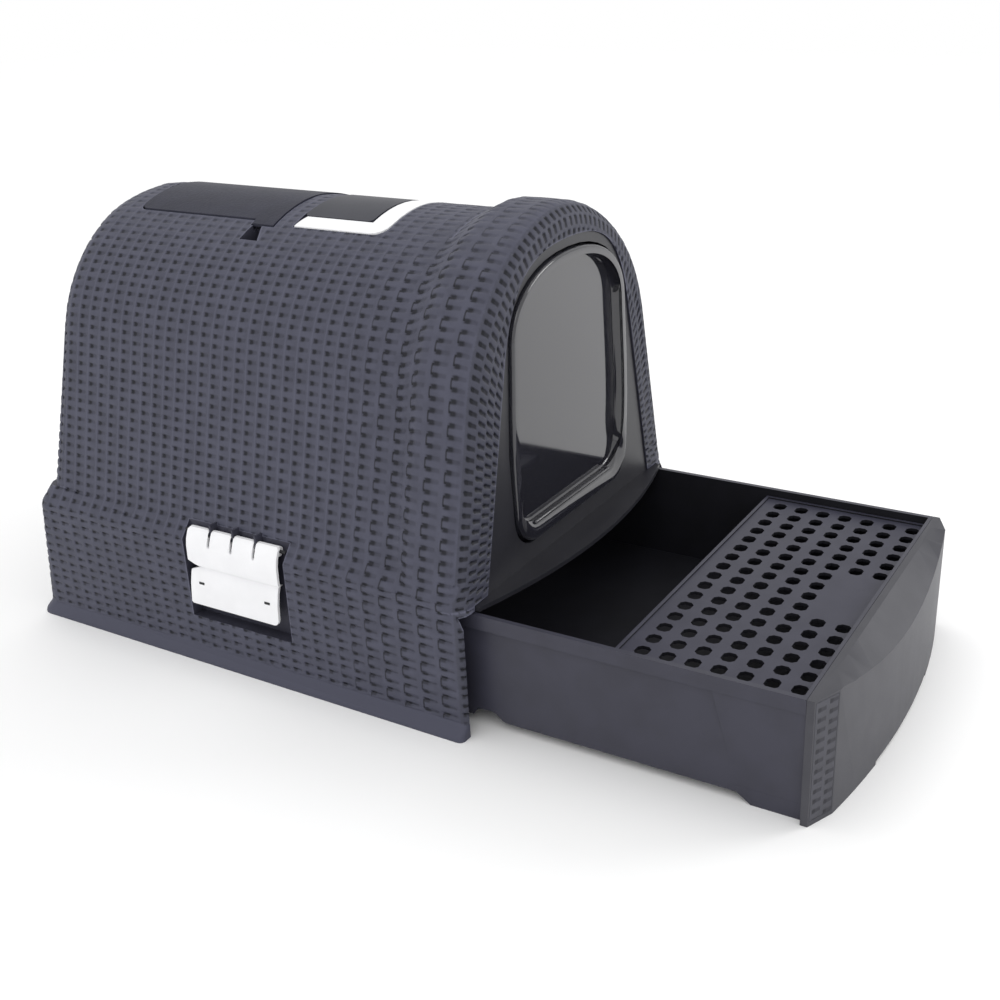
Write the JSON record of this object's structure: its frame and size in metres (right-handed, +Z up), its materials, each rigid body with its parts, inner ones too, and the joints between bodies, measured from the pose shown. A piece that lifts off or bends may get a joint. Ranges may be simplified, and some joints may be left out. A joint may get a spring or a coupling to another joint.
{
  "type": "hooded litter box",
  "caption": "Hooded cat litter box in woven-look plastic with a smoked swing door, a pull-out litter drawer with a step grid, a roof hatch and a carrying handle.",
  "frame": {"origin": "middle of the hood's foot on the floor, under the middle of the hood's length and width", "axes": "+Z up, -Y out of the front through the door and along the drawer's pull, +X to the right seen from the front"},
  "size_m": [0.394, 0.8039, 0.399],
  "materials": {
    "woven_plastic": "moulded weave, matte",
    "smooth_plastic": "fine grain",
    "drawer_plastic": "satin",
    "grid_plastic": "satin",
    "dark_plastic": "satin",
    "white_plastic": "gloss",
    "smoked_plastic": "clear, smoked"
  },
  "bodies": {
    "base": {"base_pan": "dark_plastic", "runner_left": "dark_plastic", "runner_right": "dark_plastic"},
    "hood": {"hood_shell": "woven_plastic", "front_frame": "smooth_plastic", "handle_plate": "smooth_plastic", "storage_bin": "dark_plastic", "hatch_pin": "dark_plastic", "clip_pin_left": "dark_plastic", "clip_pin_right": "dark_plastic"},
    "drawer": {"drawer_tray": "drawer_plastic", "drawer_front": "drawer_plastic", "corner_strip_left": "woven_plastic", "corner_strip_right": "woven_plastic"},
    "step": {"step_grid": "grid_plastic"},
    "door": {"door_flap": "smoked_plastic", "door_pins": "dark_plastic"},
    "hatch": {"hatch_lid": "grid_plastic"},
    "handle": {"carry_handle": "white_plastic", "handle_pins": "dark_plastic"},
    "clip_left": {"side_clip_left": "white_plastic"},
    "clip_right": {"side_clip_right": "white_plastic"}
  },
  "joints": [
    {"name": "hood_lift", "type": "slide", "parent": "base", "child": "hood", "axis": [0, 0, 1], "range_m": [0, 0.45]},
    {"name": "drawer_slide", "type": "slide", "parent": "base", "child": "drawer", "axis": [0, -1, 0], "range_m": [-0.281, 0.19]},
    {"name": "grid_lift", "type": "slide", "parent": "drawer", "child": "step", "axis": [0, 0, 1], "range_m": [0, 0.06]},
    {"name": "door_swing", "type": "hinge", "parent": "hood", "child": "door", "pos_m": [0, -0.2375, 0.308], "axis": [1, 0, 0], "range_deg": [-60, 60]},
    {"name": "hatch_swing", "type": "hinge", "parent": "hood", "child": "hatch", "pos_m": [0, 0.1802, 0.386], "axis": [-1, 0, 0], "range_deg": [0, 80]},
    {"name": "handle_swing", "type": "hinge", "parent": "hood", "child": "handle", "pos_m": [0, -0.0155, 0.372], "axis": [-1, 0, 0], "range_deg": [0, 90]},
    {"name": "clip_left_swing", "type": "hinge", "parent": "hood", "child": "clip_left", "pos_m": [-0.1815, -0.008, 0.127], "axis": [0, 1, 0], "range_deg": [0, 70]},
    {"name": "clip_right_swing", "type": "hinge", "parent": "hood", "child": "clip_right", "pos_m": [0.1815, -0.008, 0.127], "axis": [0, -1, 0], "range_deg": [0, 70]}
  ]
}
